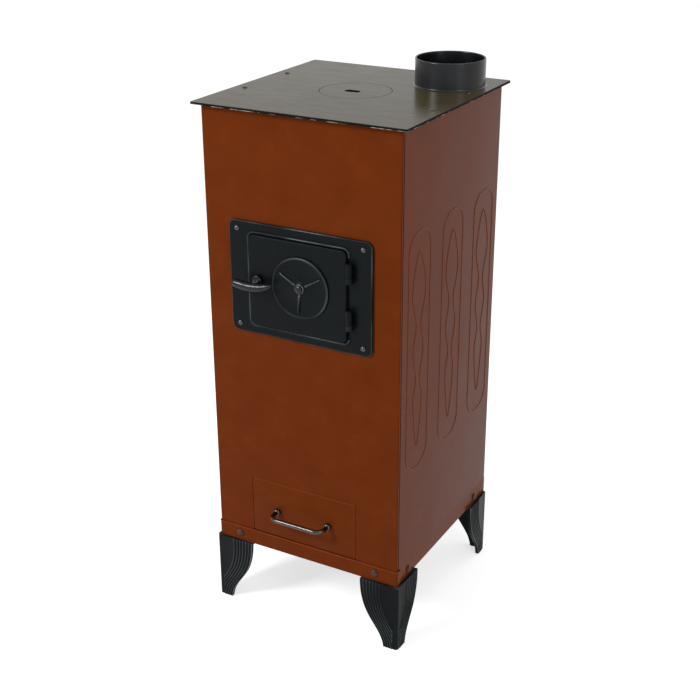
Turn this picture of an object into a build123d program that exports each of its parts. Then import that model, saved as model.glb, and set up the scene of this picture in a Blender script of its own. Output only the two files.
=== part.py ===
from build123d import *
import os
from math import asin, cos, radians, sin

# A wood cookstove: an enamelled sheet-steel body on four cast legs, a cast feed door in the front, an ash
# drawer under it, a flat cooking plate with one lid, and a flue collar. Millimetres; the front faces -Y and
# the origin is on the floor, under the middle of the whole stove's box.

# Body
BODY_W = 366.0
BODY_D = 373.0
LEG_H = 130.0
PLATE_TOP = 942.0
PLATE_T = 4.0
PLATE_OVERHANG = 13.0
SHEET = 1.5
BEND_R = 2.0

# The latch grip reaches furthest forward, the plate furthest back; the body stands midway between them.
GRIP_REACH = 36.0
BODY_Y = (GRIP_REACH - PLATE_OVERHANG) / 2
FRONT_Y = BODY_Y - BODY_D / 2
BACK_Y = BODY_Y + BODY_D / 2
SIDE_X = BODY_W / 2
PLATE_LOW = PLATE_TOP - PLATE_T

# Base: the pan is an upturned tray, and the skirt covers its front
SKIRT_H = 30.0
FLOOR_Z = LEG_H + SKIRT_H
SIDE_LAP = 6.0
RETURN = 18.0

# Pressed ornament of the side panels: loops in a row, each with a wavy figure inside
LOOP_PITCH = 126.0
LOOP_W = 79.0
LOOP_LOW = 337.0
LOOP_HIGH = 762.0
LOOP_R = 34.0
LOOP_OFFSET = 6.0
BEAD_W = 3.0
BEAD_H = 1.2
WAVE_TOP = 728.0
WAVE_LOW = 377.0
WAVE = [(24.0, 661.0), (9.0, 603.0), (18.5, 555.0), (7.5, 505.0), (16.0, 463.0)]

# Feed door, seen from the front: a cast frame, and a leaf that closes on it
DOOR_Z = 655.0
FRAME_W = 269.0
FRAME_H = 197.0
FRAME_R = 12.0
FRAME_T = 5.0
FRAME_BOLT_X = 118.5
FRAME_BOLT_Z = 84.5
THROAT_W = 177.0
THROAT_H = 150.0
THROAT_R = 6.0
THROAT_WALL = 3.0
THROAT_DEEP = 35.0
LEAF_LEFT = -92.5
LEAF_RIGHT = 90.5
LEAF_H = 158.0
LEAF_R = 8.0
LEAF_T = 6.0
LEAF_GAP = 0.3
LEAF_BACK = FRAME_T + LEAF_GAP
LEAF_FACE = LEAF_BACK + LEAF_T
RIM_W = 5.0
RIM_H = 3.5
RIM_GAP = 1.2
HINGE_X = 97.0
HINGE_OUT = 13.0
KNUCKLE_R = 5.5
KNUCKLE_H = 26.0
KNUCKLE_LOW = (610.0, 690.0)
LUG_H = 8.0
PIN_R = 3.0
RUNNING = 0.06
HOLE_PLAY = 0.3
SHIELD_OUT = -11.0
SHIELD_T = 3.0

# Air wheel and latch, both on the leaf
WHEEL_X = 6.0
WHEEL_Z = 657.0
WHEEL_R = 53.0
WHEEL_BACK = LEAF_FACE + 0.7
WHEEL_FRONT = WHEEL_BACK + 5.5
WHEEL_RIBS = (30, 150, 266)
AIR_HOLE_AT = 30.0
AIR_HOLE_R = 7.0
STUD_R = 4.0
LATCH_X = -75.0
LATCH_Z = 658.0
HUB_R = 9.0
HUB_BACK = LEAF_FACE + 0.3
HUB_FRONT = HUB_BACK + 8.0
TONGUE_BACK = LEAF_BACK - 9.3
TONGUE_T = 6.0

# The latch grip is a horn: its radius at places along it, x from the pivot and z from the pivot
GRIP_R = 6.6
GRIP_OUT = GRIP_REACH - GRIP_R
GRIP = [(-39.6, -5.0, 3.4), (-37.0, -5.6, 5.2), (-28.0, -7.2, 6.1), (-8.0, -8.8, 6.6), (12.0, -7.2, 6.3),
        (26.0, -3.4, 4.8), (33.0, -0.6, 2.6), (35.4, 0.6, 1.2)]

# Ash drawer
DRAWER_LEFT = -110.0
DRAWER_RIGHT = 102.0
DRAWER_LOW = FLOOR_Z
DRAWER_HIGH = 270.0
DRAWER_GAP = 0.8
DRAWER_PROUD = 0.3
PAN_D = 12.0
TRAY_D = 298.0
TRAY_H = 90.0
HANDLE_LEFT = -57.0
HANDLE_RIGHT = 47.0
HANDLE_Z = 213.0
HANDLE_OUT = 30.0
HANDLE_R = 4.0
HANDLE_BEND = 15.0

# Fire chamber
SHELF_TOP = 288.0
SHELF_T = 3.0
GRATE_W = 216.0
GRATE_T = 12.0
BRICK_T = 30.0
BRICK_TOP = 560.0
JOINT = 1.0

# Cooking plate
LID_R = 61.0
LID_GAP = 0.6
SEAT_IN = 54.0
SEAT_OUT = 72.0
SEAT_T = 3.0
FLUE_X = 118.0
FLUE_Y = BODY_Y + 118.0
FLUE_R = 60.0
FLUE_WALL = 3.0
FLUE_H = 46.0
SCREW_X = 175.0
SCREW_Y = 68.0

# Legs and their bolts
WING_W = 75.0
WING_T = 6.0
RIBS = 7
RIB_PITCH = 6.5
RIB_W = 3.4
RIB_H = 1.3
RIB_LINE = 4.5
LEG_PROUD = 5.5
FOOT_W = 27.0
TAB_IN = 2 * SHEET
TAB_T = 5.0
LEG_BOLT_X = 140.0
LEG_BOLT_Y = 142.0
LEG_BOLT_R = 4.0
FRONT_BOLT_Z = LEG_H + 15.0
SIDE_BOLT_Z = LEG_H + 12.0

# On the front: x to the right, y up, z straight out of the body's face. On the right side: x to the back.
FRONT = Plane(origin=(0, FRONT_Y, 0), x_dir=(1, 0, 0), z_dir=(0, -1, 0)).location
RIGHT = Plane(origin=(SIDE_X, BODY_Y, 0), x_dir=(0, 1, 0), z_dir=(1, 0, 0)).location
MIRROR_X = Plane.YZ
MIRROR_Y = Plane(origin=(0, BODY_Y, 0), x_dir=(1, 0, 0), z_dir=(0, 1, 0))


def block(x, y, z):
    """A block between two limits along each axis."""
    low = Vector(x[0], y[0], z[0])
    high = Vector(x[1], y[1], z[1])
    size = high - low
    return Pos(*((low + high) / 2)) * Box(size.X, size.Y, size.Z)


def rod(radius, low, high, x=0.0, y=0.0):
    """A round bar along z, between two heights."""
    return Pos(x, y, (low + high) / 2) * Cylinder(radius, high - low)


def turned(points):
    """A turned piece: its half-section, (radius, height) points, revolved about z."""
    section = make_face(Polyline(*points, close=True))
    return revolve(Plane.XZ * section, Axis.Z)


def folded(points, bends, low, high):
    """Folded sheet: a plan line on its outer face, thickened to the left and raised between two heights."""
    line = FilletPolyline(*points, radius=bends)
    strip = make_face(offset(line, amount=SHEET, side=Side.LEFT))
    return Pos(0, 0, low) * extrude(strip, high - low)


def hexagon_nut(bolt_r, height):
    """A plain nut standing on z = 0."""
    outline = RegularPolygon(bolt_r * 1.65, 6) - Circle(bolt_r)
    return extrude(outline, height)


def dome_bolt(head_r, head_h, bolt_r, length):
    """A bolt whose domed head stands above z = 0, and whose shank goes down from it."""
    rim = head_h * 0.35
    cap = head_h - rim
    ball = (head_r ** 2 + cap ** 2) / (2 * cap)
    half = asin(head_r / ball) / 2
    middle = (ball * sin(half), head_h - ball + ball * cos(half))
    dome = ThreePointArc((head_r, rim), middle, (0, head_h))
    rest = Polyline((0, head_h), (0, -length), (bolt_r, -length), (bolt_r, 0), (head_r, 0), (head_r, rim))
    section = make_face(Curve() + [dome, rest])
    return revolve(Plane.XZ * section, Axis.Z)


def leg_bolt_places():
    """Place of each leg bolt: z out of the body, and the thickness in front of the leg's tab."""
    places = []
    for side in (-1, 1):
        places.append((FRONT * Pos(side * LEG_BOLT_X, FRONT_BOLT_Z, SHEET), 3 * SHEET))
        back = Plane(origin=(side * LEG_BOLT_X, BACK_Y, FRONT_BOLT_Z), x_dir=(-1, 0, 0), z_dir=(0, 1, 0))
        places.append((back.location, 2 * SHEET))
        for end in (-1, 1):
            at = (side * SIDE_X, BODY_Y + end * LEG_BOLT_Y, SIDE_BOLT_Z)
            places.append((Plane(origin=at, x_dir=(0, 1, 0), z_dir=(side, 0, 0)).location, 2 * SHEET))
    return places


def drill_leg_bolts(piece):
    """Holes of the leg bolts, through whatever of the piece they meet."""
    for place, stack in leg_bolt_places():
        piece -= place * rod(LEG_BOLT_R + HOLE_PLAY, -stack - TAB_T - 1, 1)
    return piece


def rounded(width, height, radius, x=0.0, y=0.0):
    """A rectangle with round corners, about a point."""
    return Pos(x, y) * RectangleRounded(width, height, radius)


def front_panel():
    """Front sheet: its edges fold back round the corners and step in under the side panels."""
    left = -SIDE_X
    tuck = left + SHEET
    step = FRONT_Y + SIDE_LAP
    half = [(tuck, step + RETURN), (tuck, step), (left, step - SHEET), (left, FRONT_Y)]
    points = half + [(-x, y) for x, y in reversed(half)]
    panel = folded(points, [0.4, 0.4, BEND_R, BEND_R, 0.4, 0.4], LEG_H, PLATE_LOW)
    for side in (-1, 1):
        x = sorted((side * (SIDE_X - 2 * SHEET), side * (SIDE_X + 1)))
        panel -= block(x, (FRONT_Y + SIDE_LAP - 2 * SHEET, FRONT_Y + 40), (LEG_H, FLOOR_Z + 1))
    round_throat = 2 * THROAT_WALL + 4
    door = rounded(THROAT_W + round_throat, THROAT_H + round_throat, THROAT_R + THROAT_WALL, 0, DOOR_Z)
    drawer = block((DRAWER_LEFT, DRAWER_RIGHT), (FRONT_Y - 5, FRONT_Y + 5), (DRAWER_LOW, DRAWER_HIGH))
    panel -= FRONT * Pos(0, 0, -5) * extrude(door, 10)
    panel -= drawer
    for place in frame_bolt_places():
        panel -= place * rod(PIN_R + HOLE_PLAY, -10, 1)
    hem = rod(2, -SIDE_X + 4, SIDE_X - 4)
    panel += Pos(0, FRONT_Y - 0.6, PLATE_LOW - 3.2) * Rot(0, 90, 0) * hem
    return drill_leg_bolts(panel)


def ornament():
    """Pressed loops and the wavy figures inside them, as raised beads."""
    beads = Sketch()
    mid = (LOOP_LOW + LOOP_HIGH) / 2
    height = LOOP_HIGH - LOOP_LOW
    for step in (-1, 0, 1):
        x = step * LOOP_PITCH + LOOP_OFFSET
        loop = rounded(LOOP_W + BEAD_W, height + BEAD_W, LOOP_R + BEAD_W / 2, x, mid)
        loop -= rounded(LOOP_W - BEAD_W, height - BEAD_W, LOOP_R - BEAD_W / 2, x, mid)
        wave = Pos(x, 0) * (wave_figure(BEAD_W / 2) - wave_figure(-BEAD_W / 2))
        beads += [loop, wave]
    return beads


def wave_figure(grow):
    """One wavy figure, grown all round by a distance: two mirrored curves from its top to its foot."""
    top = (0, WAVE_TOP + grow)
    low = (0, WAVE_LOW - grow)
    right = Spline(top, *[(w + grow, z) for w, z in WAVE], low, tangents=((1, 0), (-1, 0)))
    left = Spline(low, *[(-w - grow, z) for w, z in reversed(WAVE)], top, tangents=((-1, 0), (1, 0)))
    return make_face(Curve() + [right, left])


def right_panel():
    """Side sheet with its pressed ornament; the back edge folds in behind the back panel."""
    tail = BACK_Y - SHEET
    points = [(SIDE_X, FRONT_Y + SIDE_LAP + 0.8), (SIDE_X, tail), (SIDE_X - RETURN, tail)]
    panel = folded(points, BEND_R, LEG_H, PLATE_LOW)
    panel -= block((SIDE_X - RETURN - 1, SIDE_X - SHEET), (tail - 5, BACK_Y), (LEG_H, FLOOR_Z + 1))
    panel += RIGHT * extrude(ornament(), BEAD_H)
    for place in back_screw_places():
        panel -= place * rod(2, -10, 1)
    return drill_leg_bolts(panel)


def back_panel():
    """Plain back sheet, screwed to the folds of the sides."""
    sheet = rounded(BODY_W - 4, PLATE_LOW - LEG_H, 4, 0, (PLATE_LOW + LEG_H) / 2)
    panel = Pos(0, BACK_Y, 0) * Rot(90, 0, 0) * extrude(sheet, SHEET)
    for place in back_screw_places():
        panel -= place * rod(2, -10, 1)
    return drill_leg_bolts(panel)


def back_screw_places():
    places = []
    for x in (-1, 1):
        for step in range(4):
            z = 230 + step * 210
            spot = Plane(origin=(x * (SIDE_X - 11), BACK_Y, z), x_dir=(-1, 0, 0), z_dir=(0, 1, 0))
            places.append(spot.location)
    return places


def base_pan():
    """Upturned tray: the floor that the drawer slides on, with flanges down inside the panels."""
    width = (-SIDE_X + SHEET, SIDE_X - SHEET)
    depth = (FRONT_Y + SHEET, BACK_Y - SHEET)
    tray = block(width, depth, (LEG_H, FLOOR_Z))
    tray = fillet(tray.edges().filter_by(Axis.Z), BEND_R)
    tray = offset(tray, amount=-SHEET, openings=tray.faces().sort_by(Axis.Z)[0])
    return drill_leg_bolts(tray)


def front_skirt():
    """Strip along the foot of the front, folded round both corners, with a rolled top lip."""
    x = SIDE_X + SHEET
    tail = FRONT_Y + 10
    points = [(-x, tail), (-x, FRONT_Y - SHEET), (x, FRONT_Y - SHEET), (x, tail)]
    strip = folded(points, BEND_R + SHEET, LEG_H, FLOOR_Z)
    proud = [(-x - 0.5, tail), (-x - 0.5, FRONT_Y - SHEET - 0.5), (x + 0.5, FRONT_Y - SHEET - 0.5), (x + 0.5, tail)]
    lip = folded(proud, BEND_R + SHEET + 0.5, FLOOR_Z - 2.5, FLOOR_Z - 0.5)
    return drill_leg_bolts(strip + lip)


def top_frame():
    """Angle-section frame welded inside the top edge, which the plate is screwed to."""
    width = 2 * (SIDE_X - 2 * SHEET)
    depth = BODY_D - 3 * SHEET
    leg = 16.0
    steel = 2.0
    outer = Rectangle(width, depth)
    ring = extrude(outer - Rectangle(width - 2 * steel, depth - 2 * steel), -20)
    ledge = extrude(outer - Rectangle(width - 2 * leg, depth - 2 * leg), -steel)
    frame = Pos(0, BODY_Y - SHEET / 2, PLATE_LOW) * (ring + ledge)
    frame -= rod(FLUE_R - FLUE_WALL + 1, PLATE_LOW - 30, PLATE_LOW + 1, FLUE_X, FLUE_Y)
    for x, y in plate_screw_places():
        frame -= rod(2.5, PLATE_LOW - 5, PLATE_LOW + 1, x, y)
    return frame


def plate_screw_places():
    return [(x * SCREW_X, BODY_Y + y * SCREW_Y) for x in (-1, 1) for y in (-1, 1)]


def top_plate():
    """Cooking plate, with the lid's hole, the flue hole and a screw near each end of its two sides."""
    width = BODY_W + 2 * PLATE_OVERHANG
    depth = BODY_D + 2 * PLATE_OVERHANG
    face = rounded(width, depth, 4)
    face -= Circle(LID_R + LID_GAP)
    face -= Pos(FLUE_X, FLUE_Y - BODY_Y) * Circle(FLUE_R - FLUE_WALL)
    for x, y in plate_screw_places():
        face -= Pos(x, y - BODY_Y) * Circle(2.5)
    plate = extrude(face, PLATE_T)
    plate = chamfer(plate.edges().group_by(Axis.Z)[-1].filter_by(GeomType.LINE), 0.8)
    return Pos(0, BODY_Y, PLATE_LOW) * plate


def plate_screws():
    screw = dome_bolt(4.2, 2.2, 2.5, PLATE_T + 6)
    return [Pos(x, y, PLATE_TOP) * screw for x, y in plate_screw_places()]


def lid_seat():
    """Ring under the plate that the lid rests on."""
    ring = extrude(Circle(SEAT_OUT) - Circle(SEAT_IN), SEAT_T)
    return Pos(0, BODY_Y, PLATE_LOW - SEAT_T) * ring


def cooking_lid():
    """Cast lid: a disc with a locating ring below and a lifting hole with a tongue for the lifter."""
    spigot = 6.0
    lid = turned([(0, 0), (SEAT_IN - 6, 0), (SEAT_IN - 6, -spigot), (SEAT_IN - 2, -spigot), (SEAT_IN - 2, 0),
                  (LID_R, 0), (LID_R, PLATE_T - 0.6), (LID_R - 0.6, PLATE_T), (0, PLATE_T)])
    hole = Pos(-2, -7, -1) * extrude(SlotOverall(28, 16), PLATE_T + 2)
    tongue = Pos(-7, -11, 0) * extrude(rounded(8, 12, 2), PLATE_T - 1.5)
    return Pos(0, BODY_Y, PLATE_LOW) * (lid - hole + tongue)


def flue_collar():
    """Rolled collar with a weld round its foot."""
    inner = FLUE_R - FLUE_WALL
    collar = turned([(inner, 0), (FLUE_R + 2.5, 0), (FLUE_R, 2.5), (FLUE_R, FLUE_H - 0.8),
                     (FLUE_R - 0.8, FLUE_H), (inner + 0.8, FLUE_H), (inner, FLUE_H - 0.8)])
    return Pos(FLUE_X, FLUE_Y, PLATE_TOP) * collar


def frame_bolt_places():
    """Front of each bolt hole of the cast door frame, z out of the body."""
    return [FRONT * Pos(x * FRAME_BOLT_X, DOOR_Z + z * FRAME_BOLT_Z, 0) for x in (-1, 1) for z in (-1, 1)]


def hinge_axis(low):
    """Place on the door's hinge line at a height."""
    return Pos(HINGE_X, FRONT_Y - HINGE_OUT, low)


def door_frame():
    """Cast frame: a plate on the body's face, a rim round the leaf, a throat inwards and two hinge lugs."""
    plate = extrude(rounded(FRAME_W, FRAME_H, FRAME_R), FRAME_T)
    plate = fillet(plate.faces().sort_by(Axis.Z)[-1].edges(), 1.6)
    mid = (LEAF_LEFT + LEAF_RIGHT) / 2
    wide = LEAF_RIGHT - LEAF_LEFT + 2 * RIM_GAP
    tall = LEAF_H + 2 * RIM_GAP
    rim = rounded(wide + 2 * RIM_W, tall + 2 * RIM_W, LEAF_R + RIM_GAP + RIM_W, mid)
    rim -= rounded(wide, tall, LEAF_R + RIM_GAP, mid)
    rim = Pos(0, 0, FRAME_T) * extrude(rim, RIM_H, taper=12)
    hinge_low = KNUCKLE_LOW[0] - LUG_H - 20 - DOOR_Z
    hinge_high = KNUCKLE_LOW[1] + KNUCKLE_H + 6 - DOOR_Z
    rim -= block((LEAF_RIGHT - 2, LEAF_RIGHT + 20), (hinge_low, hinge_high), (FRAME_T, FRAME_T + 20))
    wall = 2 * THROAT_WALL
    throat = rounded(THROAT_W + wall, THROAT_H + wall, THROAT_R + THROAT_WALL)
    throat = extrude(throat, -THROAT_DEEP)
    way = Pos(0, 0, -THROAT_DEEP) * extrude(rounded(THROAT_W, THROAT_H, THROAT_R), THROAT_DEEP + FRAME_T)
    frame = FRONT * Pos(0, DOOR_Z, 0) * (plate + rim + throat - way)
    for low in KNUCKLE_LOW:
        foot = Box(2 * KNUCKLE_R + 2, HINGE_OUT - 6, LUG_H)
        foot = Pos(HINGE_X + 1, FRONT_Y - HINGE_OUT / 2 - 1, low - LUG_H / 2) * foot
        lug = hinge_axis(low) * rod(KNUCKLE_R, -LUG_H, 0) + foot
        frame += lug - hinge_axis(low) * rod(PIN_R, -LUG_H, 0)
    for place in frame_bolt_places():
        frame -= place * rod(PIN_R + HOLE_PLAY, -1, FRAME_T + 1)
    return frame


def frame_bolts():
    bolt = Pos(0, 0, FRAME_T) * dome_bolt(4.6, 3.4, PIN_R, FRAME_T + SHEET + 7)
    return [place * bolt for place in frame_bolt_places()]


def frame_nuts():
    nut = Pos(0, 0, -SHEET - 5) * hexagon_nut(PIN_R, 5)
    return [place * nut for place in frame_bolt_places()]


def hinge_pins():
    pin = rod(PIN_R, -LUG_H, KNUCKLE_H - 5)
    return [hinge_axis(low) * pin for low in KNUCKLE_LOW]


def knuckle():
    """Hinge knuckle with a domed top, a blind bore and a web to the leaf."""
    low = LEAF_GAP
    top = KNUCKLE_H
    dome = ThreePointArc((KNUCKLE_R, top - 2), (KNUCKLE_R * 0.72, top - 0.6), (0, top))
    rest = Polyline((0, top), (0, low), (KNUCKLE_R, low), (KNUCKLE_R, top - 2))
    barrel = revolve(Plane.XZ * make_face(Curve() + [dome, rest]), Axis.Z)
    web = block((LEAF_RIGHT - HINGE_X - 3, 0), (0, HINGE_OUT - LEAF_BACK - 1), (low, top - 2))
    return barrel + web - rod(PIN_R + RUNNING, 0, top - 3)


def air_hole_places():
    angles = [radians(60 * step) for step in range(6)]
    return [(WHEEL_X + AIR_HOLE_AT * cos(angle), WHEEL_Z + AIR_HOLE_AT * sin(angle)) for angle in angles]


def shield_screw_places():
    return [FRONT * Pos(x, DOOR_Z + z, 0) for x in (-48, 68) for z in (-52, 52)]


def door_leaf():
    """Cast leaf: softened edges, a locating rib behind, air holes under the wheel and two knuckles."""
    mid = (LEAF_LEFT + LEAF_RIGHT) / 2
    leaf = extrude(rounded(LEAF_RIGHT - LEAF_LEFT, LEAF_H, LEAF_R, mid), LEAF_T)
    leaf = fillet(leaf.faces().sort_by(Axis.Z)[-1].edges(), 1.8)
    rib = rounded(THROAT_W - 4, THROAT_H - 4, THROAT_R) - rounded(THROAT_W - 12, THROAT_H - 12, THROAT_R)
    leaf += extrude(rib, -3)
    leaf = FRONT * Pos(0, DOOR_Z, LEAF_BACK) * leaf
    for low in KNUCKLE_LOW:
        leaf += hinge_axis(low) * knuckle()
    for x, z in air_hole_places():
        leaf -= FRONT * rod(AIR_HOLE_R, LEAF_BACK - 1, LEAF_FACE + 1, x, z)
    leaf -= FRONT * rod(STUD_R + RUNNING, LEAF_BACK - 1, LEAF_FACE + 1, WHEEL_X, WHEEL_Z)
    leaf -= FRONT * rod(STUD_R + RUNNING, LEAF_BACK - 1, LEAF_FACE + 1, LATCH_X, LATCH_Z)
    for place in shield_screw_places():
        leaf -= place * rod(PIN_R, LEAF_BACK - 1, LEAF_BACK + 3)
    return leaf


def heat_shield():
    """Plate held off the back of the leaf, which keeps the fire from it."""
    plate = extrude(rounded(134, 124, 6, 9), -SHIELD_T)
    shield = FRONT * Pos(0, DOOR_Z, SHIELD_OUT) * plate
    for place in shield_screw_places():
        shield -= place * rod(PIN_R, -20, 0)
    return shield


def shield_screws():
    """Screws of the heat shield, each with the sleeve that spaces it from the leaf."""
    back = SHIELD_OUT - SHIELD_T
    head = back - 3
    screw = turned([(0, head), (4, head), (5.5, back - 1), (5.5, back), (PIN_R, back), (PIN_R, SHIELD_OUT),
                    (5, SHIELD_OUT), (5, LEAF_BACK), (PIN_R, LEAF_BACK), (PIN_R, LEAF_BACK + 3),
                    (0, LEAF_BACK + 3)])
    return [place * screw for place in shield_screw_places()]


def air_wheel():
    """Air wheel: a dished disc with a rolled rim, a boss, and three ribs to turn it by."""
    rim = ThreePointArc((WHEEL_R - 4, 3.4), (WHEEL_R - 1, 2.9), (WHEEL_R, 1.4))
    bore = STUD_R + RUNNING
    face = 2.2
    top = WHEEL_FRONT - WHEEL_BACK
    rest = Polyline((WHEEL_R, 1.4), (WHEEL_R, 0), (bore, 0), (bore, top), (8, top), (10, face),
                    (WHEEL_R - 5.5, face), (WHEEL_R - 4, 3.4))
    disc = revolve(Plane.XZ * make_face(Curve() + [rim, rest]), Axis.Z)
    for angle in WHEEL_RIBS:
        rib = Pos(27.5, 0, 2) * extrude(SlotOverall(33, 4.5), 3, taper=10)
        disc += Rot(0, 0, angle) * rib
    return FRONT * Pos(WHEEL_X, WHEEL_Z, WHEEL_BACK) * disc


def air_wheel_bolt():
    """Stud of the air wheel, with a domed head in front of the boss."""
    bolt = dome_bolt(6.5, 3.6, STUD_R, WHEEL_FRONT + 0.3 - LEAF_BACK + 8)
    return FRONT * Pos(WHEEL_X, WHEEL_Z, WHEEL_FRONT + 0.3) * bolt


def air_wheel_nut():
    return FRONT * Pos(WHEEL_X, WHEEL_Z, LEAF_BACK - 6) * hexagon_nut(STUD_R, 6)


def latch_handle():
    """Cast lever: a hub with a blind bore, a neck leaning down from it, and a horn-shaped grip across."""
    hub = rod(HUB_R, HUB_BACK, HUB_FRONT)
    hub = chamfer(hub.edges().sort_by(Axis.Z)[-1], 1.5)
    hub -= rod(STUD_R + RUNNING, HUB_BACK, HUB_FRONT - 2)
    drop = GRIP[3][1]
    neck = loft([Pos(0, 0, HUB_FRONT - 1) * Circle(7), Pos(0, drop, GRIP_OUT) * Circle(4.5)])
    rings = [Plane(origin=(x, z, GRIP_OUT), z_dir=(1, 0, 0)) * Circle(radius) for x, z, radius in GRIP]
    return FRONT * Pos(LATCH_X, LATCH_Z, 0) * (hub + neck + loft(rings))


def latch_shaft():
    """Shaft fixed in the lever's blind bore."""
    return FRONT * rod(STUD_R, TONGUE_BACK, HUB_FRONT - 2, LATCH_X, LATCH_Z)


def latch_tongue():
    """Tongue on the shaft's inner end, pointing at the frame's throat."""
    outline = make_hull(Circle(7).edges() + (Pos(-7.8, 0) * Circle(3.5)).edges())
    tongue = extrude(outline - Circle(STUD_R), TONGUE_T)
    return FRONT * Pos(LATCH_X, LATCH_Z, TONGUE_BACK) * tongue


def drawer_front():
    """Pressed drawer front: a shallow pan, flush with the body's face."""
    gap = DRAWER_GAP
    x = (DRAWER_LEFT + gap, DRAWER_RIGHT - gap)
    z = (DRAWER_LOW + gap, DRAWER_HIGH - gap)
    pan = block(x, (FRONT_Y - DRAWER_PROUD, FRONT_Y + PAN_D), z)
    pan = fillet(pan.edges().filter_by(Axis.Y), 2 * SHEET)
    pan = offset(pan, amount=-SHEET, openings=pan.faces().sort_by(Axis.Y)[-1])
    for place in handle_places():
        pan -= place * rod(HANDLE_R, -10, 1)
    return pan


def handle_places():
    """Where the drawer handle's ends go through the drawer front."""
    return [FRONT * Pos(x, HANDLE_Z, DRAWER_PROUD) for x in (HANDLE_LEFT, HANDLE_RIGHT)]


def ash_tray():
    """Open box behind the drawer front."""
    x = (DRAWER_LEFT + 7, DRAWER_RIGHT - 7)
    front = FRONT_Y - DRAWER_PROUD + SHEET
    low = FLOOR_Z + 0.4
    tray = block(x, (front, front + TRAY_D), (low, low + TRAY_H))
    tray = offset(tray, amount=-SHEET, openings=tray.faces().sort_by(Axis.Z)[-1])
    notch = drawer_front_lip()
    for place in handle_places():
        tray -= place * rod(9, -SHEET - 10, -SHEET)
    return tray - notch


def drawer_front_lip():
    """Room for the folded lower edge of the drawer front, which the tray's front corner steps over."""
    top = DRAWER_LOW + DRAWER_GAP + SHEET
    return block((-SIDE_X, SIDE_X), (FRONT_Y - 1, FRONT_Y + PAN_D + 0.2), (FLOOR_Z, top))


def drawer_handle():
    """Bow handle: a round bar bent forward at both ends."""
    back = -9.0
    front = HANDLE_OUT
    left = [(HANDLE_LEFT, 0, back), (HANDLE_LEFT, 0, front)]
    right = [(HANDLE_RIGHT, 0, front), (HANDLE_RIGHT, 0, back)]
    path = FilletPolyline(*left, *right, radius=HANDLE_BEND)
    bar = sweep(Pos(HANDLE_LEFT, 0, back) * Circle(HANDLE_R), path=path)
    return FRONT * Pos(0, HANDLE_Z, 0) * bar


def handle_collars():
    """Ball-shaped collars where the bar meets the drawer front."""
    ball = ThreePointArc((4.6, 0), (7, 4.2), (4.6, 8.4))
    rest = Polyline((4.6, 8.4), (HANDLE_R, 8.4), (HANDLE_R, 0), (4.6, 0))
    collar = revolve(Plane.XZ * make_face(Curve() + [ball, rest]), Axis.Z)
    return [place * collar for place in handle_places()]


def handle_nuts():
    nut = Pos(0, 0, -SHEET - 5) * hexagon_nut(HANDLE_R, 5)
    return [place * nut for place in handle_places()]


def drawer_guides():
    """Angle strips on the floor, one each side of the tray."""
    y = (FRONT_Y + 14, FRONT_Y + TRAY_D)
    left = block((DRAWER_LEFT + 3, DRAWER_LEFT + 5), y, (FLOOR_Z, FLOOR_Z + 14))
    left += block((DRAWER_LEFT - 9, DRAWER_LEFT + 5), y, (FLOOR_Z, FLOOR_Z + 2))
    middle = Plane(origin=((DRAWER_LEFT + DRAWER_RIGHT) / 2, 0, 0), x_dir=(0, 1, 0), z_dir=(1, 0, 0))
    return [left, mirror(left, about=middle)]


def grate_shelf():
    """Shelf that carries the bricks and the grate, with its edges folded down."""
    depth = (FRONT_Y + SHEET, BACK_Y - 2 * SHEET)
    width = (-SIDE_X + 2 * SHEET, SIDE_X - 2 * SHEET)
    shelf = block(width, depth, (SHELF_TOP - 18, SHELF_TOP))
    shelf = offset(shelf, amount=-SHELF_T, openings=shelf.faces().sort_by(Axis.Z)[0])
    hole = extrude(rounded(GRATE_W - 20, GRATE_W - 20, 8), 40)
    return shelf - Pos(0, BODY_Y, SHELF_TOP - 20) * hole


def grate():
    """Cast grate: a frame and long bars with gaps for the ash."""
    slot_w = 9.0
    pitch = 17.0
    face = rounded(GRATE_W, GRATE_W, 10)
    for row in (-1, 1):
        for step in range(-5, 6):
            face -= Pos(step * pitch, row * 49) * Rot(0, 0, 90) * SlotOverall(84, slot_w)
    return Pos(0, BODY_Y, SHELF_TOP) * extrude(face, GRATE_T)


def brick_wall(x, y, along):
    """Two courses of two firebricks, with open joints between them."""
    mid_z = (SHELF_TOP + BRICK_TOP) / 2
    low, high = x if along == "x" else y
    mid = (low + high) / 2
    bricks = []
    for z in ((SHELF_TOP, mid_z - JOINT / 2), (mid_z + JOINT / 2, BRICK_TOP)):
        for half in ((low, mid - JOINT / 2), (mid + JOINT / 2, high)):
            brick = block(half, y, z) if along == "x" else block(x, half, z)
            bricks.append(chamfer(brick.edges().filter_by(Axis.Z), 1.5))
    return bricks


def brick_limits():
    """Outer limits of the brick lining in plan."""
    return (SIDE_X - 2 * SHEET - 0.5, FRONT_Y + SHEET + 0.5, BACK_Y - 10)


def left_bricks():
    x, front, back = brick_limits()
    return brick_wall((-x, -x + BRICK_T), (front, back), "y")


def right_bricks():
    x, front, back = brick_limits()
    return brick_wall((x - BRICK_T, x), (front, back), "y")


def front_bricks():
    x, front, back = brick_limits()
    inside = x - BRICK_T - JOINT
    return brick_wall((-inside, inside), (front, front + BRICK_T), "x")


def back_bricks():
    x, front, back = brick_limits()
    inside = x - BRICK_T - JOINT
    return brick_wall((-inside, inside), (back - BRICK_T, back), "x")


def wing_edge(ribs, width):
    """The wing's S-curved edge, from its wide top to its narrow foot, drawn in by a number of rib pitches, which
    close up towards the foot, and by a width."""
    top = WING_W - LEG_PROUD
    foot = FOOT_W - LEG_PROUD
    edge = [(top, 1.0), (top - 10, 0.58), (foot + 12, 0.22), (foot, 0.0)]
    points = [(x - width - ribs * RIB_PITCH * (0.78 + 0.22 * share), LEG_H * share) for x, share in edge]
    return Spline(*points, tangents=((-0.05, -1), (-0.25, -1)))


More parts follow.
